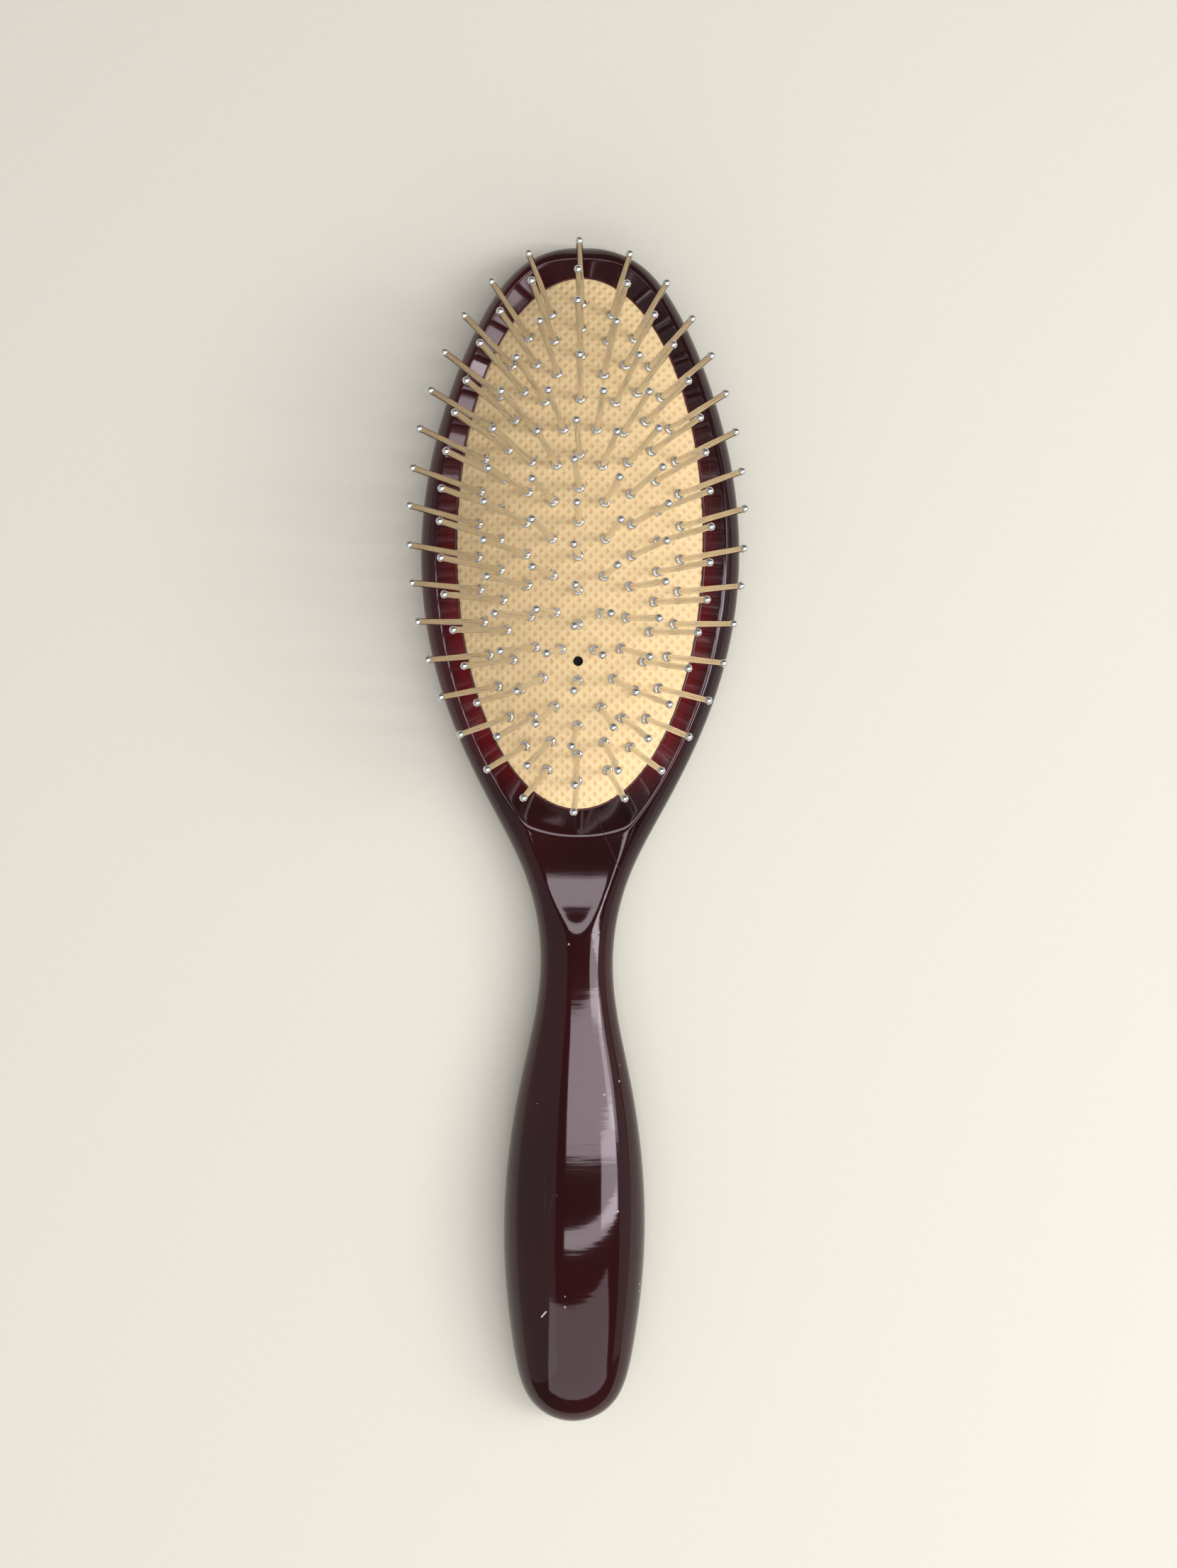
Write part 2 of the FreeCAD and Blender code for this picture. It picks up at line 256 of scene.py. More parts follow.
# %% [markdown]
# ## Fine dust and scratches
#
# A used brush has specks of dust and hair-thin scratches on its lacquer, and the steel has them too.
# Both materials share one node group, with its own amounts in each. It only puts out masks.

# %% Wear group
SMALLEST_SPECK = 0.12
SCRATCH_TURNS = (0.5, 2.1)
SCRATCH_STRETCH = 0.045
SCRATCH_WIDTH = 0.0022
WORN_AREA_SCALE = 42.0
WORN_AREA_LIMIT = 0.66


def make_wear_group():
    """Masks for specks and for scratches, from Object coordinates."""
    group = bpy.data.node_groups.new("fine_wear", "ShaderNodeTree")
    for name, value in (("Speck Scale", 900.0), ("Speck Share", 0.04), ("Scratch Scale", 160.0),
                        ("Scratch Share", 0.03)):
        socket = group.interface.new_socket(name, in_out="INPUT", socket_type="NodeSocketFloat")
        socket.default_value = value
    for name in ("Specks", "Scratches"):
        group.interface.new_socket(name, in_out="OUTPUT", socket_type="NodeSocketFloat")
    given = group.nodes.new("NodeGroupInput")
    result = group.nodes.new("NodeGroupOutput")
    specks = node(group, "ShaderNodeTexVoronoi",
                  {"Vector": place_of(group), "Scale": given.outputs["Speck Scale"]},
                  feature="F1")
    size_limit = maths(group, "MULTIPLY", given.outputs["Speck Share"], 2.0)
    chosen = maths(group, "LESS_THAN", node(group, "ShaderNodeSeparateColor",
                   {"Color": specks.outputs["Color"]}).outputs[0], given.outputs["Speck Share"])
    small = maths(group, "LESS_THAN", specks.outputs["Distance"],
                  maths(group, "ADD", size_limit, SMALLEST_SPECK))
    group.links.new(maths(group, "MULTIPLY", chosen, small), result.inputs["Specks"])
    streaks = []
    for turn in SCRATCH_TURNS:
        turned = node(group, "ShaderNodeMapping",
                      {"Vector": place_of(group), "Rotation": (0.3, 0.2, turn),
                       "Scale": (1, SCRATCH_STRETCH, 1)})
        field = noise(group, turned.outputs["Vector"], given.outputs["Scratch Scale"], 2.0, 0.4)
        apart = maths(group, "ABSOLUTE", maths(group, "SUBTRACT", field, 0.5))
        line = maths(group, "LESS_THAN", apart, SCRATCH_WIDTH)
        area = noise(group, place_of(group, offset=(turn, 0, 0)), WORN_AREA_SCALE, 1.0)
        near = maths(group, "GREATER_THAN", area,
                     maths(group, "SUBTRACT", WORN_AREA_LIMIT, given.outputs["Scratch Share"]))
        streaks.append(maths(group, "MULTIPLY", line, near))
    group.links.new(maths(group, "MAXIMUM", streaks[0], streaks[1]), result.inputs["Scratches"])
    return group


wear_group = make_wear_group()


def add_wear(tree, **values):
    item = tree.nodes.new("ShaderNodeGroup")
    item.node_tree = wear_group
    for name, value in values.items():
        item.inputs[name.replace("_", " ")].default_value = value
    return item


print("group:", wear_group.name)

# %% [markdown]
# ## Sizes taken from the pad
#
# The pad's own box gives its centre, its edge and its top. The dome's two radii follow from how much it
# drops towards its sides and its ends. The body's recess, the lip and the pins all use these.

# %% Pad sizes
pad_low, pad_high = (Vector(corner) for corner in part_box("cushion_pad"))
PAD_CENTRE_Y = (pad_low.y + pad_high.y) / 2
PAD_TOP = pad_high.z
PAD_LIP = 1.5 * MM
PAD_HALF_WIDTH = pad_high.x - PAD_LIP
PAD_HALF_LENGTH = (pad_high.y - pad_low.y) / 2 - PAD_LIP
DOME_ACROSS = 41 * MM
DOME_ALONG = 183.1 * MM
WAFFLE_PITCH = 1.5 * MM
RIDGE_EDGE = 0.70
PIT_CENTRE = 0.10
PIT_DEPTH = 0.28 * MM
STEPS_PER_FIELD = 6
SKIRT_LIFT = 0.4 * MM
VENT_PLACE = (0.0, PAD_CENTRE_Y - 23.3 * MM)
VENT_RADIUS = 0.95 * MM
VENT_DEPTH = 2.5 * MM


def dome_height(x, y):
    """The height of the pad's smooth surface over a place on the table."""
    along = y - PAD_CENTRE_Y
    reach = DOME_ALONG - DOME_ACROSS + math.sqrt(DOME_ACROSS ** 2 - x ** 2)
    return PAD_TOP - DOME_ALONG + math.sqrt(reach ** 2 - along ** 2)


def dome_normal(x, y):
    step = 0.1 * MM
    slope_x = (dome_height(x + step, y) - dome_height(x - step, y)) / (2 * step)
    slope_y = (dome_height(x, y + step) - dome_height(x, y - step)) / (2 * step)
    return Vector((-slope_x, -slope_y, 1)).normalized()


print("pad:", round(2 * PAD_HALF_WIDTH / MM, 1), "x", round(2 * PAD_HALF_LENGTH / MM, 1), "mm")

# %% [markdown]
# ## The body's finish
#
# The real body is dark ruby plastic under a thick gloss. Its colour lies deep, so a red cast shows where
# the light comes through the left side and the lower wall of the recess, and the rest reads as near
# black. That red cast is painted into the base colour, as a painted glow. The gloss isn't flat: fine
# ripples run across the handle and break the edges of each reflection.

# %% Ruby plastic
# Single marks of use, seen from above: middle, turn, half length and half width in millimetres.
HAIRLINE = ((5.95, -1.45), -1.147, (5.9, 0.07))
CHIP = ((-7.7, -20.9), 0.4, (0.45, 0.35))
SCUFF = ((-5.5, -92.1), 0.9, (0.8, 0.14))

DEEP_RED = (0.0080, 0.0008, 0.0010, 1)
# Painted glow on the left side, where light comes through the plastic.
LIT_RED = (0.050, 0.0018, 0.0026, 1)
# Painted glow on the lower wall of the recess, where light comes through the plastic.
WALL_GLOW_RED = (0.13, 0.002, 0.004, 1)
DUST_GREY = (0.42, 0.36, 0.33, 1)
BARE_CREAM = (0.60, 0.55, 0.48, 1)
GLOSS_TINT = (1.0, 0.87, 0.94, 1)
GLOSS_IOR = 1.49
# From none to full: across the body and along it in metres, and on the wall by the pad's oval, which is 1
# at the pad's edge. The handle's fade places the ripples, and the others place the painted glow.
GLOW_FADE = (0.012, -0.016)
HANDLE_FADE = (0.0, -0.02)
WALL_GLOW_FADE = (1.16, 1.03)
LOWER_GLOW_FADE = (0.030, -0.020)
END_GLOW_FADE = (-0.051, -0.040)
LEAST_GLOW = 0.25
RIPPLE_SHARE = 0.22
SCRATCH_DEPTH = 0.5
BODY_BUMP = (0.35, 0.00018)
BASE_ROUGHNESS = 0.045
WORN_ROUGHNESS = 0.6


def mark(tree, middle, turn, half):
    """1 inside a turned rectangle on the object, seen from above, and 0 outside."""
    place = node(tree, "ShaderNodeMapping",
                 {"Vector": place_of(tree), "Location": (middle[0] * MM, middle[1] * MM, 0),
                  "Rotation": (0, 0, turn), "Scale": (half[0] * MM, half[1] * MM, 1)},
                 vector_type="TEXTURE").outputs["Vector"]
    sides = axes_of(tree, place)
    within = [maths(tree, "LESS_THAN", maths(tree, "ABSOLUTE", sides[axis]), 1.0) for axis in "XY"]
    return maths(tree, "MULTIPLY", *within)


def make_body_material():
    material, tree, shader = new_material("ruby_gloss")
    broad = noise(tree, place_of(tree, (1, 0.45, 1)), 30.0, 2.0)
    # Painted glow: the left side is painted redder, in broad patches, where light comes through the
    # plastic.
    left = ramp(tree, axes_of(tree, place_of(tree))["X"], *GLOW_FADE)
    glow = maths(tree, "MULTIPLY", maths(tree, "ADD", left, LEAST_GLOW), ramp(tree, broad, 0.3, 0.75))
    deep = blend_colour(tree, glow, DEEP_RED, LIT_RED)
    # Painted glow on the lower wall of the recess, near the pad, where light comes through the plastic.
    sides = axes_of(tree, place_of(tree, offset=(0, -PAD_CENTRE_Y, 0)))
    across = maths(tree, "POWER", maths(tree, "DIVIDE", sides["X"], PAD_HALF_WIDTH), 2.0)
    along = maths(tree, "POWER", maths(tree, "DIVIDE", sides["Y"], PAD_HALF_LENGTH), 2.0)
    wall = ramp(tree, maths(tree, "SQRT", maths(tree, "ADD", across, along)), *WALL_GLOW_FADE)
    lower = ramp(tree, sides["Y"], *LOWER_GLOW_FADE)
    end = ramp(tree, sides["Y"], *END_GLOW_FADE)
    wall = maths(tree, "MULTIPLY", maths(tree, "MULTIPLY", wall, lower), end)
    deep = blend_colour(tree, wall, deep, WALL_GLOW_RED)
    wear = add_wear(tree, Speck_Scale=700.0, Speck_Share=0.012, Scratch_Scale=140.0,
                    Scratch_Share=0.05)
    dusted = blend_colour(tree, wear.outputs["Specks"], deep, DUST_GREY)
    bare = maths(tree, "MAXIMUM", mark(tree, *CHIP), mark(tree, *SCUFF))
    dusted = blend_colour(tree, bare, dusted, BARE_CREAM)
    hairline = mark(tree, *HAIRLINE)
    tree.links.new(dusted, shader.inputs["Base Color"])
    ripples = noise(tree, place_of(tree, (0.12, 1, 0.12)), 620.0, 2.0)
    waves = noise(tree, place_of(tree, (1, 0.5, 1)), 85.0, 2.0)
    handle = ramp(tree, axes_of(tree, place_of(tree))["Y"], *HANDLE_FADE)
    ripple_height = maths(tree, "MULTIPLY", maths(tree, "MULTIPLY", ripples, handle), RIPPLE_SHARE)
    height = maths(tree, "ADD", ripple_height, waves)
    scratches = maths(tree, "MULTIPLY", wear.outputs["Scratches"], SCRATCH_DEPTH)
    height = maths(tree, "SUBTRACT", height, scratches)
    add_bump(tree, shader, height, *BODY_BUMP)
    rough = maths(tree, "ADD", maths(tree, "MULTIPLY", broad, 0.05),
                  maths(tree, "MULTIPLY", wear.outputs["Scratches"], 0.25))
    worn = maths(tree, "MULTIPLY", maths(tree, "MAXIMUM", bare, hairline), WORN_ROUGHNESS)
    rough = maths(tree, "ADD", rough, worn)
    tree.links.new(maths(tree, "ADD", rough, BASE_ROUGHNESS), shader.inputs["Roughness"])
    shader.inputs["IOR"].default_value = GLOSS_IOR
    shader.inputs["Specular Tint"].default_value = GLOSS_TINT
    return material


body_material = make_body_material()
print("made:", body_material.name)

# %% [markdown]
# ## The body's shape
#
# The body is one moulding, and the edge where its recess meets the outside is soft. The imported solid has
# that edge sharp. This mesh follows the same outline and profile, and melts the surfaces into each other
# with a smooth minimum instead of a cut: the outside, the sloping wall of the recess, and the hollow in
# the top of the neck. The wall rises evenly all round, so at the sides it is flatter than the solid's.
# Splines run through a short table of stations, and the mesh's columns follow the edge of the recess, so
# that its highlight stays clean.

# %% Stations along the body
PARTING = 6.0
BODY_LENGTH = (cad_box[1][1] - cad_box[0][1]) / MM
# Place from the head's tip, half width, top and underside, in millimetres.
STATIONS = (
    (2.62, 10.31, 10.45, 2.56), (10.91, 18.00, 12.35, 0.69), (27.59, 25.50, 13.20, -0.06),
    (59.59, 31.25, 13.40, -0.25), (88.79, 26.40, 12.95, 0.57), (107.99, 17.81, 12.45, 1.62),
    (122.18, 10.61, 12.04, 2.30), (143.50, 7.25, 11.80, 2.80), (163.01, 10.75, 13.54, 1.65),
    (190.39, 13.85, 16.50, -0.25), (214.08, 11.99, 14.80, 0.75), (225.20, 8.79, 11.88, 2.50),
)
HEAD_PLACE, NECK_PLACE = 59.59, 143.5
HEAD_SQUARE, HANDLE_SQUARE = 5.0, 2.0


def turn_of(place):
    """Places along the body as angles, which spreads them out near its round ends."""
    return np.arccos(1 - 2 * np.asarray(place) / BODY_LENGTH)


def spline(knots, values):
    """A smooth curve through points, as a function; its ends are free."""
    knots, values = np.asarray(knots), np.asarray(values)
    gaps = np.diff(knots)
    count = len(knots)
    system = np.eye(count)
    right = np.zeros(count)
    for k in range(1, count - 1):
        system[k, k - 1:k + 2] = gaps[k - 1], 2 * (gaps[k - 1] + gaps[k]), gaps[k]
        right[k] = 6 * ((values[k + 1] - values[k]) / gaps[k] - (values[k] - values[k - 1]) / gaps[k - 1])
    bend = np.linalg.solve(system, right)

    def curve(at):
        k = np.clip(np.searchsorted(knots, at) - 1, 0, count - 2)
        after, before, gap = knots[k + 1] - at, at - knots[k], gaps[k]
        return ((bend[k] * after ** 3 + bend[k + 1] * before ** 3) / (6 * gap)
                + (values[k] / gap - bend[k] * gap / 6) * after
                + (values[k + 1] / gap - bend[k + 1] * gap / 6) * before)

    return curve


knots = turn_of([0] + [row[0] for row in STATIONS] + [BODY_LENGTH])
half_width_at = spline(knots, [0] + [row[1] for row in STATIONS] + [0])
top_at = spline(knots, [PARTING] + [row[2] for row in STATIONS] + [PARTING])
low_at = spline(knots, [PARTING] + [row[3] for row in STATIONS] + [PARTING])
print("widest:", round(2 * float(half_width_at(turn_of(HEAD_PLACE))), 1), "mm")

# %% Surfaces of the body
# Places, heights, radii and softness are in millimetres.
COVE_BASE = 9.0
COVE_SLOPE = 0.42
COVE_SQUARE = 0.055
UNDER_PAD = 7.4
UNDER_PAD_SLOPE = 2.0
HOLLOW_PLACE = 121.0
HOLLOW_LOW = 10.7
HOLLOW_RADIUS = 75.0
EDGE_SOFTNESS = 0.55
HOLLOW_SOFTNESS = 0.35
RIM_A, RIM_B = PAD_HALF_WIDTH / MM, PAD_HALF_LENGTH / MM
RIM_PLACE = BODY_LENGTH / 2 - PAD_CENTRE_Y / MM
SQUARE_REACH = 12
FARTHEST = 150.0
HALVINGS = 30
AT_OUTLINE = 0.9999


def smooth_least(first, second, softness):
    """The lower of two heights, rounded where they cross."""
    near = np.maximum(softness - np.abs(first - second), 0) / softness
    return np.minimum(first, second) - near * near * softness / 4


def from_pad_edge(x, place):
    """How far outside the pad's edge a place lies; it is less than zero under the pad.

    Towards the neck the ovals grow squarer as they widen, so the shoulder's line is nearly straight.
    """
    low, high = np.full_like(x, -RIM_A + 0.5), np.full_like(x, FARTHEST)
    for _ in range(HALVINGS):
        middle = (low + high) / 2
        power = 2 + np.where(place > RIM_PLACE, COVE_SQUARE * np.clip(middle, 0, SQUARE_REACH), 0)
        across = np.abs(x / (RIM_A + middle)) ** power
        along = np.abs((place - RIM_PLACE) / (RIM_B + middle)) ** power
        outside = across + along > 1
        low, high = np.where(outside, middle, low), np.where(outside, high, middle)
    return (low + high) / 2


def squareness(place):
    share = np.clip((place - HEAD_PLACE) / (NECK_PLACE - HEAD_PLACE), 0, 1)
    return HEAD_SQUARE + (HANDLE_SQUARE - HEAD_SQUARE) * (1 - np.cos(np.pi * share)) / 2


def outside_height(x, place):
    turn = turn_of(place)
    half = np.maximum(half_width_at(turn), 1e-6)
    left = np.maximum(1 - np.abs(x / half) ** squareness(place), 0)
    return PARTING + (top_at(turn) - PARTING) * np.sqrt(left)


def cove_height(x, place):
    away = from_pad_edge(x, place)
    wall = COVE_BASE + np.where(away > 0, COVE_SLOPE, UNDER_PAD_SLOPE) * away
    return np.maximum(wall, UNDER_PAD)


def body_top(x, place):
    """The height of the finished upper surface."""
    hollow = HOLLOW_LOW + (place - HOLLOW_PLACE) ** 2 / (2 * HOLLOW_RADIUS)
    height = smooth_least(outside_height(x, place), hollow, HOLLOW_SOFTNESS)
    height = smooth_least(height, cove_height(x, place), EDGE_SOFTNESS)
    return np.where(np.abs(x) >= AT_OUTLINE * half_width_at(turn_of(place)), PARTING, height)


in_hollow = float(body_top(np.zeros(1), np.full(1, HOLLOW_PLACE))[0])
print("height in the neck's hollow:", round(in_hollow, 1), "mm")

# %% Body mesh
# Rows of points across the body: closest at its tips, and fine over the shoulder.
NOSE_END, SHOULDER_START, SHOULDER_END, HEEL_START = 12, 104, 120, 214
ROW_STEP, FINE_STEP = 1.0, 0.25
NOSE_ROWS, HEEL_ROWS = 60, 50
BODY_ROWS = np.concatenate([
    NOSE_END * (np.arange(1, NOSE_ROWS) / NOSE_ROWS) ** 2,
    np.arange(NOSE_END, SHOULDER_START, ROW_STEP),
    np.arange(SHOULDER_START, SHOULDER_END, FINE_STEP),
    np.arange(SHOULDER_END, HEEL_START, ROW_STEP),
    BODY_LENGTH - (BODY_LENGTH - HEEL_START) * (np.arange(HEEL_ROWS, 0, -1) / HEEL_ROWS) ** 2])
UNDER_COLUMNS = 64
# Columns from the axis outwards: over the pad's place, up the wall, across the edge, down the outside.
COLUMNS = (7, 9, 13, 13)
EDGE_BAND = 0.9
BAND_SHARE = 0.4
# Limits that keep the columns apart where there is no recess. LIP_LIMIT is a share of the edge's place,
# and the others are shares of the half width.
EDGE_LIMITS = (0.5, 0.93)
LIP_LIMIT = 0.35
WALL_LIMIT = 0.12
SAMPLES = 400
MERGE = 0.0005 * MM


def row_columns(place):
    """Places across the upper side from the axis outwards, gathered at the edge of the recess."""
    half = float(half_width_at(turn_of(place)))
    x = np.linspace(0, half, SAMPLES)
    places = np.full_like(x, place)
    inside = outside_height(x, places) > cove_height(x, places)
    edge = float(x[inside].max()) if inside.any() else 0.0
    reach = 1 - ((place - RIM_PLACE) / RIM_B) ** 2
    lip = RIM_A * math.sqrt(reach) if reach > 0 else 0.0
    edge = min(max(edge, EDGE_LIMITS[0] * half), EDGE_LIMITS[1] * half)
    lip = min(max(lip, LIP_LIMIT * edge), edge - WALL_LIMIT * half)
    near = min(EDGE_BAND, BAND_SHARE * (edge - lip), BAND_SHARE * (half - edge))
    parts = [np.linspace(0, lip, COLUMNS[0])[:-1], np.linspace(lip, edge - near, COLUMNS[1])[:-1],
             np.linspace(edge - near, edge + near, COLUMNS[2])[:-1],
             edge + near + (half - edge - near) * np.sin(np.linspace(0, np.pi / 2, COLUMNS[3]))]
    return np.concatenate(parts)


def make_body():
    rows = []
    for place in BODY_ROWS:
        turn = turn_of(place)
        out = row_columns(place)
        x = np.concatenate([out[::-1], -out[1:]])
        z = body_top(x, np.full_like(x, place))
        sweep = np.linspace(np.pi, 2 * np.pi, UNDER_COLUMNS + 1)[1:-1]
        under_x = float(half_width_at(turn)) * np.sign(np.cos(sweep)) * (
            np.abs(np.cos(sweep)) ** (2 / float(squareness(place))))
        under_z = PARTING + (PARTING - float(low_at(turn))) * np.sin(sweep)
        x = np.concatenate([x, under_x])
        z = np.concatenate([z, np.maximum(under_z, 0)])
        y = np.full_like(x, BODY_LENGTH / 2 - place)
        rows.append(np.stack([x, y, z], axis=1))
    count = len(rows[0])
    points = np.concatenate(rows) * MM
    tips = [(0, BODY_LENGTH / 2 * MM, PARTING * MM), (0, -BODY_LENGTH / 2 * MM, PARTING * MM)]
    faces = []
    for row in range(len(rows) - 1):
        for k in range(count):
            after = (k + 1) % count
            faces.append((row * count + k, row * count + after, (row + 1) * count + after,
                          (row + 1) * count + k))
    first, last = len(points), len(points) + 1
    end = (len(rows) - 1) * count
    for k in range(count):
        after = (k + 1) % count
        faces.append((after, k, first))
        faces.append((end + k, end + after, last))
    data = bpy.data.meshes.new("moulded_body")
    data.from_pydata([*points.tolist(), *tips], [], faces)
    data.validate()
    mesh = bmesh.new()
    mesh.from_mesh(data)
    bmesh.ops.remove_doubles(mesh, verts=mesh.verts, dist=MERGE)
    bmesh.ops.recalc_face_normals(mesh, faces=mesh.faces)
    finish_mesh(mesh, data)
    return add_object("moulded_body", data)


body = make_body()
body.data.materials.append(body_material)
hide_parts("brush_body")
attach(body, "root")
print("body faces:", len(body.data.polygons))

# %% [markdown]
# ## The lip
#
# A thin red seam runs round the pad, where the plastic grips the rubber. It is a slim bead swept round
# the pad's oval, because a bead catches the light along its whole length as the real lip does.

# %% Lip bead
LIP_RADIUS = 0.28 * MM
LIP_OUTSET = 0.12 * MM
LIP_SIDES = 6
LIP_STEPS = 180


def make_lip():
    points, faces = [], []
    for step in range(LIP_STEPS):
        turn = 2 * math.pi * step / LIP_STEPS
        middle = Vector(((PAD_HALF_WIDTH + LIP_OUTSET) * math.sin(turn),
                         PAD_CENTRE_Y + (PAD_HALF_LENGTH + LIP_OUTSET) * math.cos(turn), COVE_BASE * MM))
        out = Vector((PAD_HALF_LENGTH * math.sin(turn), PAD_HALF_WIDTH * math.cos(turn), 0)).normalized()
        for side in range(LIP_SIDES):
            lean = 2 * math.pi * side / LIP_SIDES
            points.append(middle + LIP_RADIUS * (out * math.cos(lean) + Vector((0, 0, math.sin(lean)))))
            after, above = (side + 1) % LIP_SIDES, (step + 1) % LIP_STEPS
            faces.append((step * LIP_SIDES + side, step * LIP_SIDES + after,
                          above * LIP_SIDES + after, above * LIP_SIDES + side))
    data = bpy.data.meshes.new("lip_bead")
    data.from_pydata(points, [], faces)
    mesh = bmesh.new()
    mesh.from_mesh(data)
    bmesh.ops.recalc_face_normals(mesh, faces=mesh.faces)
    finish_mesh(mesh, data)
    return add_object("lip_bead", data)


LIP_DEEP = (0.060, 0.004, 0.005, 1)
LIP_SCUFFED = (0.16, 0.03, 0.03, 1)


def make_lip_material():
    material, tree, shader = new_material("scuffed_lip")
    scuff = noise(tree, place_of(tree), 700.0, 3.0)
    tone = blend_colour(tree, ramp(tree, scuff, 0.5, 0.75), LIP_DEEP, LIP_SCUFFED)
    tree.links.new(tone, shader.inputs["Base Color"])
    tree.links.new(maths(tree, "ADD", maths(tree, "MULTIPLY", scuff, 0.4), 0.1),
                   shader.inputs["Roughness"])
    return material


lip = make_lip()
lip.data.materials.append(make_lip_material())
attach(lip, "root")
print("lip faces:", len(lip.data.polygons))

# %% [markdown]
# ## The pad
#
# The pad is a thin rubber dome. Its upper side is moulded as a waffle: ridges cross at right angles,
# turned 45 degrees to the brush, with a square pit in each field. The pits catch shadow on the side
# away from the light, so they are modelled and not painted. A grid that runs along the ridges puts a
# row of points on each crease. It is then trimmed to the oval, and a skirt closes it below.

# %% Waffle pad
def waffle(u, v):
    """How deep in its pit a place on the diagonal grid lies: 0 on the ridges, 1 at the bottom."""
    inside = []
    for value in (u, v):
        field = value / WAFFLE_PITCH
        inside.append(abs(field - math.floor(field) - 0.5) * 2)
    share = (RIDGE_EDGE - max(inside)) / (RIDGE_EDGE - PIT_CENTRE)
    return min(1.0, max(0.0, share))


def oval_share(x, y):
    return math.hypot(x / PAD_HALF_WIDTH, (y - PAD_CENTRE_Y) / PAD_HALF_LENGTH)


def make_pad():
    step = WAFFLE_PITCH / STEPS_PER_FIELD
    reach = int((PAD_HALF_WIDTH + PAD_HALF_LENGTH) / math.sqrt(2) / step) + 2
    mesh = bmesh.new()
    depth = mesh.verts.layers.float.new("pit")
    corners = {}
    for i in range(-reach, reach + 1):
        for j in range(-reach, reach + 1):
            u, v = i * step, j * step
            x = (u - v) / math.sqrt(2)
            y = PAD_CENTRE_Y + (u + v) / math.sqrt(2)
            if oval_share(x, y) < 1.0 and math.dist((x, y), VENT_PLACE) > VENT_RADIUS:
                pit = waffle(u, v)
                corner = mesh.verts.new((x, y, dome_height(x, y) - PIT_DEPTH * pit))
                corner[depth] = pit
                corners[i, j] = corner
    for (i, j), corner in corners.items():
        others = [corners.get(key) for key in ((i + 1, j), (i + 1, j + 1), (i, j + 1))]
        if all(others):
            mesh.faces.new((corner, *others))
    loose = [vert for vert in mesh.verts if not vert.link_faces]
    bmesh.ops.delete(mesh, geom=loose, context="VERTS")
    inner, rim = [], []
    for edge in (edge for edge in mesh.edges if edge.is_boundary):
        near = math.dist(edge.verts[0].co.xy, VENT_PLACE) < 2 * VENT_RADIUS
        (inner if near else rim).append(edge)
    for vert in {vert for edge in inner for vert in edge.verts}:
        away = (vert.co.xy - Vector(VENT_PLACE)).normalized() * VENT_RADIUS
        vert.co.xy = Vector(VENT_PLACE) + away
        vert.co.z = dome_height(*vert.co.xy)
    well = bmesh.ops.extrude_edge_only(mesh, edges=inner)["geom"]
    for vert in (item for item in well if isinstance(item, bmesh.types.BMVert)):
        vert.co.z -= VENT_DEPTH
    floor = [item for item in well if isinstance(item, bmesh.types.BMEdge) and item.is_boundary]
    bmesh.ops.contextual_create(mesh, geom=floor)
    for vert in {vert for edge in rim for vert in edge.verts}:
        share = oval_share(vert.co.x, vert.co.y)
        vert.co.x /= share
        vert.co.y = PAD_CENTRE_Y + (vert.co.y - PAD_CENTRE_Y) / share
        vert.co.z = min(vert.co.z, dome_height(vert.co.x, vert.co.y) - PIT_DEPTH / 2)
    skirt = bmesh.ops.extrude_edge_only(mesh, edges=rim)["geom"]
    for vert in (item for item in skirt if isinstance(item, bmesh.types.BMVert)):
        vert.co.z = pad_low.z + SKIRT_LIFT
    bottom = [item for item in skirt if isinstance(item, bmesh.types.BMEdge) and item.is_boundary]
    bmesh.ops.contextual_create(mesh, geom=bottom)
    bmesh.ops.recalc_face_normals(mesh, faces=mesh.faces)
    data = bpy.data.meshes.new("waffle_pad")
    mesh.to_mesh(data)
    mesh.free()
    return add_object("waffle_pad", data)


pad = make_pad()
print("pad faces:", len(pad.data.polygons))

# %% [markdown]
# ## The pad's finish
#
# The rubber is cream with a warm tan cast and matt. It is painted a little darker down in the pits, as
# painted shade. Light enters it and leaves it softened, which subsurface scattering gives.

# %% Cream rubber
VENT_OFFSET = (-VENT_PLACE[0], -VENT_PLACE[1], 0)
VENT_SHADOW = dome_height(*VENT_PLACE) - 0.5 * MM
VENT_EDGE = VENT_RADIUS * 1.02
CREAM_LOW = (0.93, 0.69, 0.375, 1)
CREAM_HIGH = (0.96, 0.73, 0.415, 1)
# Painted shade at the bottom of the pits.
PAINTED_PIT_SHADE = (0.80, 0.545, 0.28, 1)
# Painted shade inside the vent hole.
PAINTED_VENT_SHADE = (0.004, 0.002, 0.001, 1)
GRAIN_BUMP = (0.25, 0.00004)


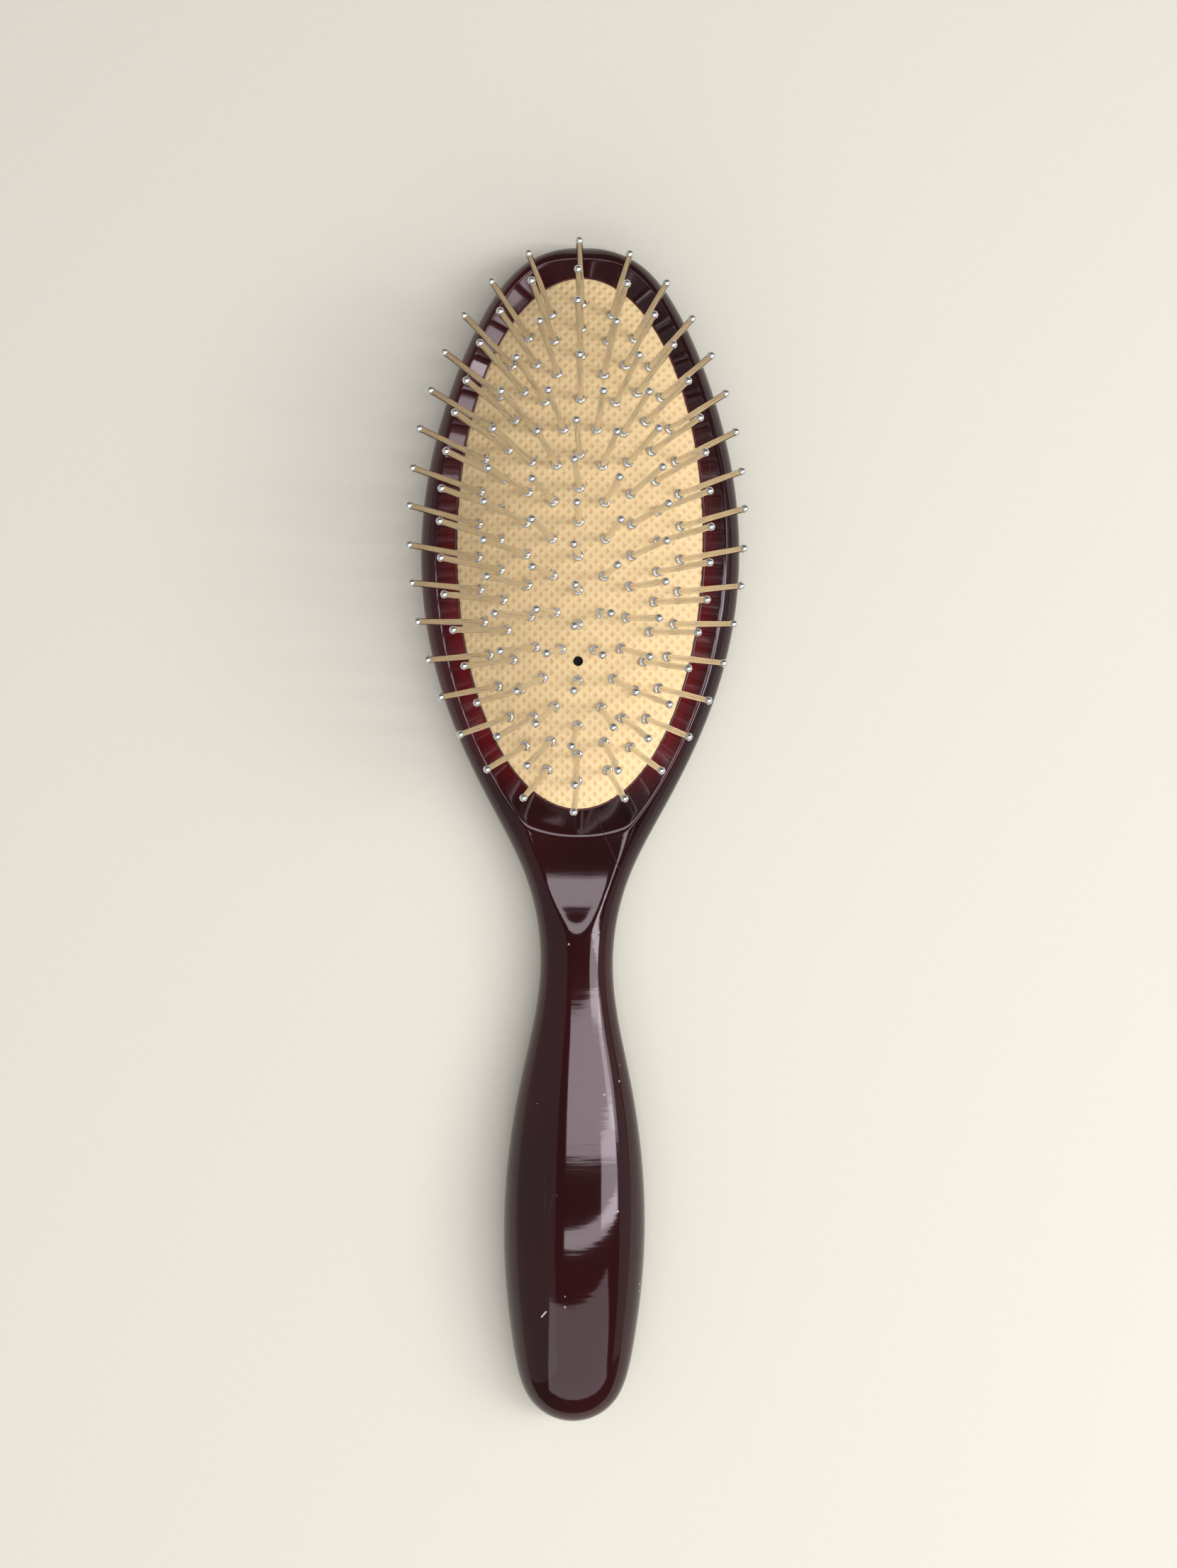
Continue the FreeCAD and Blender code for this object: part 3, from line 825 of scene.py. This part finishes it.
def make_pad_material():
    material, tree, shader = new_material("cream_rubber")
    patch = noise(tree, place_of(tree), 60.0, 3.0)
    grain = noise(tree, place_of(tree), 2600.0, 2.0)
    base = blend_colour(tree, patch, CREAM_LOW, CREAM_HIGH)
    # Painted shade: darker towards the bottom of each pit.
    pit = node(tree, "ShaderNodeAttribute", attribute_name="pit").outputs["Fac"]
    tone = blend_colour(tree, ramp(tree, pit, 0.0, 1.0), base, PAINTED_PIT_SHADE)
    # Painted shade: the vent hole is painted near black below its rim.
    sides = axes_of(tree, place_of(tree, offset=VENT_OFFSET))
    away = maths(tree, "SQRT", maths(tree, "ADD", maths(tree, "POWER", sides["X"], 2.0),
                                     maths(tree, "POWER", sides["Y"], 2.0)))
    in_vent = maths(tree, "MULTIPLY", maths(tree, "LESS_THAN", away, VENT_EDGE),
                    maths(tree, "LESS_THAN", sides["Z"], VENT_SHADOW))
    tone = blend_colour(tree, in_vent, tone, PAINTED_VENT_SHADE)
    tree.links.new(tone, shader.inputs["Base Color"])
    tree.links.new(maths(tree, "ADD", maths(tree, "MULTIPLY", patch, 0.15), 0.55),
                   shader.inputs["Roughness"])
    add_bump(tree, shader, grain, *GRAIN_BUMP)
    shader.inputs["Subsurface Weight"].default_value = 0.25
    shader.inputs["Subsurface Radius"].default_value = (1.0, 0.55, 0.25)
    shader.inputs["Subsurface Scale"].default_value = 0.0006
    return material


rubber = make_pad_material()
pad.data.materials.append(rubber)
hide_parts("cushion_pad")
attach(pad, "root")
print("made:", rubber.name)

# %% [markdown]
# ## The pins
#
# A pin is a straight steel wire with a ball at its tip and a small collar where it leaves the pad. All
# 114 are alike, so one is made as a lathe profile and Geometry Nodes repeats it. The points that it is
# repeated on lie evenly round each oval and carry the pad's normal, so that the pins stand square on the
# dome. A seeded random lean of about a degree stands for years of use.

# %% One pin
PIN_LENGTH = 25 * MM
SHAFT_RADIUS = 0.6 * MM
BALL_RADIUS = 0.8 * MM
COLLAR_RADIUS = 1.1 * MM
COLLAR_HEIGHT = 0.7 * MM
COLLAR_TOP = COLLAR_HEIGHT * 1.02
CREASE = 0.08 * MM
PIN_ROOT = 1.0 * MM
PIN_SIDES = 8
# Angles of the rings on the collar's bulge and on the ball, up from its middle.
COLLAR_TURNS = (-1.3, -0.3, 0.5, 1.2)
BALL_TURNS = (-0.35, 0.15, 0.65, 1.15)
BALL_FOOT = BALL_RADIUS * 0.68


def pin_profile():
    """Radius and height of the rings of a pin, from inside the pad to the top of its ball."""
    rings = [(SHAFT_RADIUS, -PIN_ROOT)]
    for turn in COLLAR_TURNS:
        bulge = (COLLAR_RADIUS - SHAFT_RADIUS) * math.cos(turn)
        rings.append((SHAFT_RADIUS + bulge, COLLAR_HEIGHT * (0.5 + 0.5 * math.sin(turn))))
    centre = PIN_LENGTH - BALL_RADIUS
    shaft_top = centre - BALL_FOOT
    for height in (COLLAR_TOP, COLLAR_TOP + CREASE, shaft_top - CREASE, shaft_top):
        rings.append((SHAFT_RADIUS, height))
    for turn in BALL_TURNS:
        rings.append((BALL_RADIUS * math.cos(turn), centre + BALL_RADIUS * math.sin(turn)))
    return rings


def make_pin():
    mesh = bmesh.new()
    rings = []
    for radius, height in pin_profile():
        rings.append([mesh.verts.new((radius * math.cos(2 * math.pi * side / PIN_SIDES),
                                      radius * math.sin(2 * math.pi * side / PIN_SIDES), height))
                      for side in range(PIN_SIDES)])
    for low, high in zip(rings, rings[1:]):
        for side in range(PIN_SIDES):
            after = (side + 1) % PIN_SIDES
            mesh.faces.new((low[side], low[after], high[after], high[side]))
    tip = mesh.verts.new((0, 0, PIN_LENGTH))
    for side in range(PIN_SIDES):
        mesh.faces.new((rings[-1][side], rings[-1][(side + 1) % PIN_SIDES], tip))
    mesh.faces.new(list(reversed(rings[0])))
    data = bpy.data.meshes.new("steel_pin")
    finish_mesh(mesh, data)
    return add_object("steel_pin", data)


pin = make_pin()
print("faces of one pin:", len(pin.data.polygons))

# %% [markdown]
# ## Polished steel
#
# Bare polished steel has no colour of its own. The shafts look golden because they mirror the pad, and
# the balls show the white panel and the dark room beside it.

# %% Steel
STEEL_LOW = (0.66, 0.65, 0.63, 1)
STEEL_HIGH = (0.76, 0.75, 0.74, 1)
STEEL_WORN = (0.45, 0.43, 0.40, 1)
DRAWN_BUMP = (0.12, 0.00003)


def make_steel():
    material, tree, shader = new_material("polished_steel")
    wear = add_wear(tree, Speck_Scale=1500.0, Speck_Share=0.02, Scratch_Scale=420.0,
                    Scratch_Share=0.10)
    tint = noise(tree, place_of(tree), 180.0, 2.0)
    base = blend_colour(tree, tint, STEEL_LOW, STEEL_HIGH)
    worn = blend_colour(tree, wear.outputs["Scratches"], base, STEEL_WORN)
    tree.links.new(worn, shader.inputs["Base Color"])
    rough = maths(tree, "ADD", maths(tree, "MULTIPLY", tint, 0.10), 0.06)
    tree.links.new(rough, shader.inputs["Roughness"])
    drawn = noise(tree, place_of(tree, (1, 1, 0.05)), 2400.0, 2.0)
    add_bump(tree, shader, drawn, *DRAWN_BUMP)
    shader.inputs["Metallic"].default_value = 1.0
    return material


steel = make_steel()
print("made:", steel.name)

# %% Where the pins stand
# Inset, gap at the ends, and number of pins.
OVALS = {
    "pins_outer_oval": (0.0971, 0.0076, 34),
    "pins_second_oval": (0.187, 0.0149, 32),
    "pins_third_oval": (0.2907, 0.0202, 26),
    "pins_inner_oval": (0.395, 0.0538, 16),
}
ROW_START = 0.157
ROW_PITCH = 0.063
ROW_PINS = 6
PAD_LENGTH = 2 * PAD_HALF_LENGTH
OVAL_STEPS = 2400


def oval_points(inset, gap, count):
    """Places spaced evenly by length round an oval, the first at its head end.

    The inset is a share of the pad's width, and the gap, for its two ends, a share of its length.
    """
    half_width = PAD_HALF_WIDTH * (1 - 2 * inset)
    half_length = PAD_HALF_LENGTH * (1 - 2 * gap) - 2 * PAD_HALF_WIDTH * inset
    turns = [2 * math.pi * k / OVAL_STEPS for k in range(OVAL_STEPS + 1)]
    walk = [(half_width * math.sin(turn), PAD_CENTRE_Y + half_length * math.cos(turn)) for turn in turns]
    total = [0.0]
    for before, after in zip(walk, walk[1:]):
        total.append(total[-1] + math.dist(before, after))
    places = []
    k = 0
    for number in range(count):
        while total[k] < total[-1] * number / count:
            k += 1
        places.append(walk[k])
    return places


pin_places = {name: oval_points(*values) for name, values in OVALS.items()}
pin_places["pins_centre_row"] = [(0.0, PAD_CENTRE_Y + PAD_LENGTH * (ROW_START - ROW_PITCH * k))
                                 for k in range(ROW_PINS)]
print("pins:", sum(len(places) for places in pin_places.values()))

# %% [markdown]
# The node tree takes points that carry a "normal" attribute. It turns a copy of the pin from +Z to that
# normal, adds the small random lean, makes the copies real and gives them the steel.

# %% Pin nodes
SEED_STEP = 57


def make_pin_tree():
    tree = bpy.data.node_groups.new("pins_on_points", "GeometryNodeTree")
    face = tree.interface
    face.new_socket("Points", in_out="INPUT", socket_type="NodeSocketGeometry")
    kinds = {"Pin": "NodeSocketObject", "Lean": "NodeSocketFloat", "Seed": "NodeSocketInt",
             "Material": "NodeSocketMaterial"}
    for name, kind in kinds.items():
        face.new_socket(name, in_out="INPUT", socket_type=kind)
    face.new_socket("Pins", in_out="OUTPUT", socket_type="NodeSocketGeometry")
    given = tree.nodes.new("NodeGroupInput")
    result = tree.nodes.new("NodeGroupOutput")
    normal = node(tree, "GeometryNodeInputNamedAttribute", {"Name": "normal"},
                  data_type="FLOAT_VECTOR").outputs["Attribute"]
    upright = node(tree, "FunctionNodeAlignRotationToVector", {"Vector": normal}, axis="Z")
    low = node(tree, "ShaderNodeMath", {0: given.outputs["Lean"], 1: -1.0}, operation="MULTIPLY")
    spread = []
    for turn in (0, 1):
        item = node(tree, "FunctionNodeRandomValue", data_type="FLOAT")
        floats = [s for s in item.inputs if s.type == "VALUE" and s.name in ("Min", "Max")]
        tree.links.new(low.outputs[0], floats[0])
        tree.links.new(given.outputs["Lean"], floats[1])
        offset = node(tree, "ShaderNodeMath", {0: given.outputs["Seed"], 1: float(turn * SEED_STEP)},
                      operation="ADD")
        tree.links.new(offset.outputs[0], item.inputs["Seed"])
        spread.append([s for s in item.outputs if s.type == "VALUE"][0])
    lean = node(tree, "ShaderNodeCombineXYZ", {"X": spread[0], "Y": spread[1]})
    turned = node(tree, "FunctionNodeRotateRotation", rotation_space="LOCAL")
    tree.links.new(upright.outputs["Rotation"], turned.inputs["Rotation"])
    tree.links.new(lean.outputs[0], turned.inputs["Rotate By"])
    shape = node(tree, "GeometryNodeObjectInfo", {"Object": given.outputs["Pin"]})
    copies = node(tree, "GeometryNodeInstanceOnPoints",
                  {"Points": given.outputs["Points"], "Instance": shape.outputs["Geometry"],
                   "Rotation": turned.outputs["Rotation"]})
    real = node(tree, "GeometryNodeRealizeInstances", {"Geometry": copies.outputs["Instances"]})
    finish = node(tree, "GeometryNodeSetMaterial",
                  {"Geometry": real.outputs["Geometry"], "Material": given.outputs["Material"]})
    tree.links.new(finish.outputs["Geometry"], result.inputs["Pins"])
    return tree


pin_tree = make_pin_tree()
LEAN = math.radians(1.1)
SEED = 5
# How far an oval's pins lean outwards, against the dome's normal, and their share of the random lean. The
# outer pins have less of both, which keeps the brush to its real width.
LEAN_OUT = {
    "pins_outer_oval": (0.98, 0.25),
    "pins_second_oval": (1.07, 1.0),
    "pins_third_oval": (1.07, 1.0),
}


def grow_pins(name, places):
    """Pins on every place of one group, as one plain mesh."""
    outward, play = LEAN_OUT.get(name, (1.0, 1.0))
    data = bpy.data.meshes.new(f"{name}_points")
    data.from_pydata([(x, y, dome_height(x, y)) for x, y in places], [], [])
    normals = data.attributes.new("normal", "FLOAT_VECTOR", "POINT")
    for index, (x, y) in enumerate(places):
        up = dome_normal(x, y)
        normals.data[index].vector = Vector((up.x * outward, up.y * outward, up.z)).normalized()
    points = add_object(f"{name}_points", data)
    modifier = points.modifiers.new("pins", "NODES")
    modifier.node_group = pin_tree
    values = {"Pin": pin, "Lean": LEAN * play, "Seed": SEED + len(places), "Material": steel}
    for item in pin_tree.interface.items_tree:
        if item.in_out == "INPUT" and item.name in values:
            modifier[item.identifier] = values[item.name]
    bpy.context.view_layer.update()
    seen = points.evaluated_get(bpy.context.evaluated_depsgraph_get())
    plain = bpy.data.meshes.new_from_object(seen)
    plain.name = f"steel_{name}"
    group = add_object(f"steel_{name}", plain)
    points.modifiers.remove(modifier)
    bpy.data.objects.remove(points)
    return group


for name, places in pin_places.items():
    group = grow_pins(name, places)
    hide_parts(name)
    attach(group, "root")
    print(group.name, len(group.data.polygons), "faces")
bpy.data.objects.remove(pin)

# %% [markdown]
# ## The table
#
# The brush lies on a plain pale surface, which takes its soft shadow.

# %% Table
TABLE_SIZE = 3.0
TABLE_LOW = (0.755, 0.718, 0.632, 1)
TABLE_HIGH = (0.785, 0.748, 0.662, 1)
TABLE_ROUGHNESS = 0.8


def make_table():
    bpy.ops.mesh.primitive_plane_add(size=TABLE_SIZE, location=(0, 0, 0))
    table = bpy.context.object
    table.name = "table_top"
    material, tree, shader = new_material("pale_table")
    speckle = noise(tree, place_of(tree), 900.0, 3.0)
    tone = blend_colour(tree, speckle, TABLE_LOW, TABLE_HIGH)
    tree.links.new(tone, shader.inputs["Base Color"])
    shader.inputs["Roughness"].default_value = TABLE_ROUGHNESS
    table.data.materials.append(material)
    print("made:", table.name)


make_table()

# %% [markdown]
# ## Finish
#
# The imported model's box is printed.

# %% Sizes and finish
print("packed box:", cad_box)
